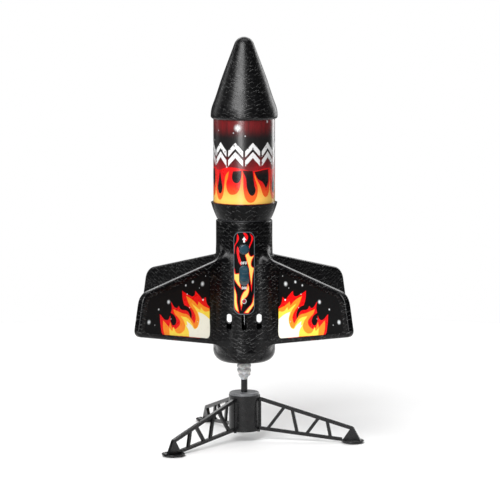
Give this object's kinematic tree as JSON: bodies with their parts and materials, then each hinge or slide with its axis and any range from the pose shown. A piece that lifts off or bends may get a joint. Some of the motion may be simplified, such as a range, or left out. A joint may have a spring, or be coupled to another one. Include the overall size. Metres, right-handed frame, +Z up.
{
  "type": "model rocket",
  "caption": "Self-launching black foam model rocket with flame graphics, standing on a plug-together tripod launch stand.",
  "frame": {"origin": "on the ground, on the launch axis of the standing rocket", "axes": "+Z up along the launch axis, the control panel faces -Y, +X to the right of the panel"},
  "size_m": [0.2141, 0.2085, 0.3845],
  "materials": {
    "black_foam": "satin",
    "black_plastic": "satin",
    "board_green": "satin",
    "cap_plastic": "satin",
    "cell_wrap": "gloss",
    "clear_bottle": "gloss",
    "clear_silicone": "satin",
    "flame_film": "satin",
    "flame_label": "gloss",
    "grey_plastic": "satin",
    "hose_clear": "satin",
    "nickel": "polished",
    "orange_cloth": "matte",
    "panel_plastic": "satin",
    "red_lens": "gloss",
    "silicone_red": "matte",
    "stand_plastic": "satin",
    "steel": "satin",
    "teal_plastic": "satin",
    "tube_metal": "polished"
  },
  "bodies": {
    "stand": {"hub_body": "stand_plastic", "hub_cap": "cap_plastic", "launch_post": "stand_plastic", "post_screw": "steel", "post_seal": "clear_silicone"},
    "leg_left_body": {"leg_left": "stand_plastic", "foot_pad_left": "stand_plastic"},
    "leg_right_body": {"leg_right": "stand_plastic", "foot_pad_right": "stand_plastic"},
    "leg_rear_body": {"leg_rear": "stand_plastic", "foot_pad_rear": "stand_plastic"},
    "nose": {"nose_cone": "black_foam", "nose_socket": "black_plastic"},
    "button": {"launch_button": "teal_plastic"},
    "knob": {"switch_knob": "teal_plastic"},
    "rotor": {"motor_rotor": "steel"},
    "rocket": {"control_panel": "panel_plastic", "panel_decal": "flame_film", "led_lens": "red_lens", "circuit_board": "board_green", "lower_chassis_plate": "grey_plastic", "upper_chassis_plate": "grey_plastic", "chassis_screws": "steel", "battery_holder": "black_plastic", "battery_cell": "cell_wrap", "battery_contacts": "nickel", "motor_can": "nickel", "pump_head": "grey_plastic", "pump_diaphragm": "silicone_red", "air_hose": "hose_clear", "check_valve": "black_plastic", "bottle_cap": "grey_plastic", "launch_tube": "tube_metal", "tail_nozzle": "black_plastic", "air_bottle": "clear_bottle", "neck_ring": "black_plastic", "lower_collar": "black_foam", "label_sleeve": "flame_label", "parachute_bay": "grey_plastic", "parachute_bundle": "orange_cloth", "port_bezel": "black_plastic", "charge_port": "nickel", "tact_switch": "black_plastic", "slide_switch": "nickel", "fuselage_front": "black_foam", "fuselage_rear": "black_foam", "fin_decal_front_left": "flame_film", "fin_decal_front_right": "flame_film", "fin_decal_rear_left": "flame_film", "fin_decal_rear_right": "flame_film"}
  },
  "joints": [
    {"name": "rocket_lift_off", "type": "slide", "parent": "stand", "child": "rocket", "axis": [0, 0, 1], "range_m": [0, 0.15]},
    {"name": "nose_release", "type": "slide", "parent": "rocket", "child": "nose", "axis": [0, 0, 1], "range_m": [0, 0.09]},
    {"name": "button_press", "type": "slide", "parent": "rocket", "child": "button", "axis": [0, 1, 0], "range_m": [0, 0.0012], "stiffness_N_per_m": 800, "springref_m": -0.001},
    {"name": "power_switch", "type": "slide", "parent": "rocket", "child": "knob", "axis": [0, 0, 1], "range_m": [-0.003, 0]},
    {"name": "motor_spin", "type": "hinge", "parent": "rocket", "child": "rotor", "pos_m": [0.0129, 0, 0.158], "axis": [0, 0, 1], "continuous": true},
    {"name": "leg_left_plug", "type": "slide", "parent": "stand", "child": "leg_left_body", "axis": [0, 0, 1], "range_m": [-0.04, 0]},
    {"name": "leg_right_plug", "type": "slide", "parent": "stand", "child": "leg_right_body", "axis": [0, 0, 1], "range_m": [-0.04, 0]},
    {"name": "leg_rear_plug", "type": "slide", "parent": "stand", "child": "leg_rear_body", "axis": [0, 0, 1], "range_m": [-0.04, 0]}
  ]
}
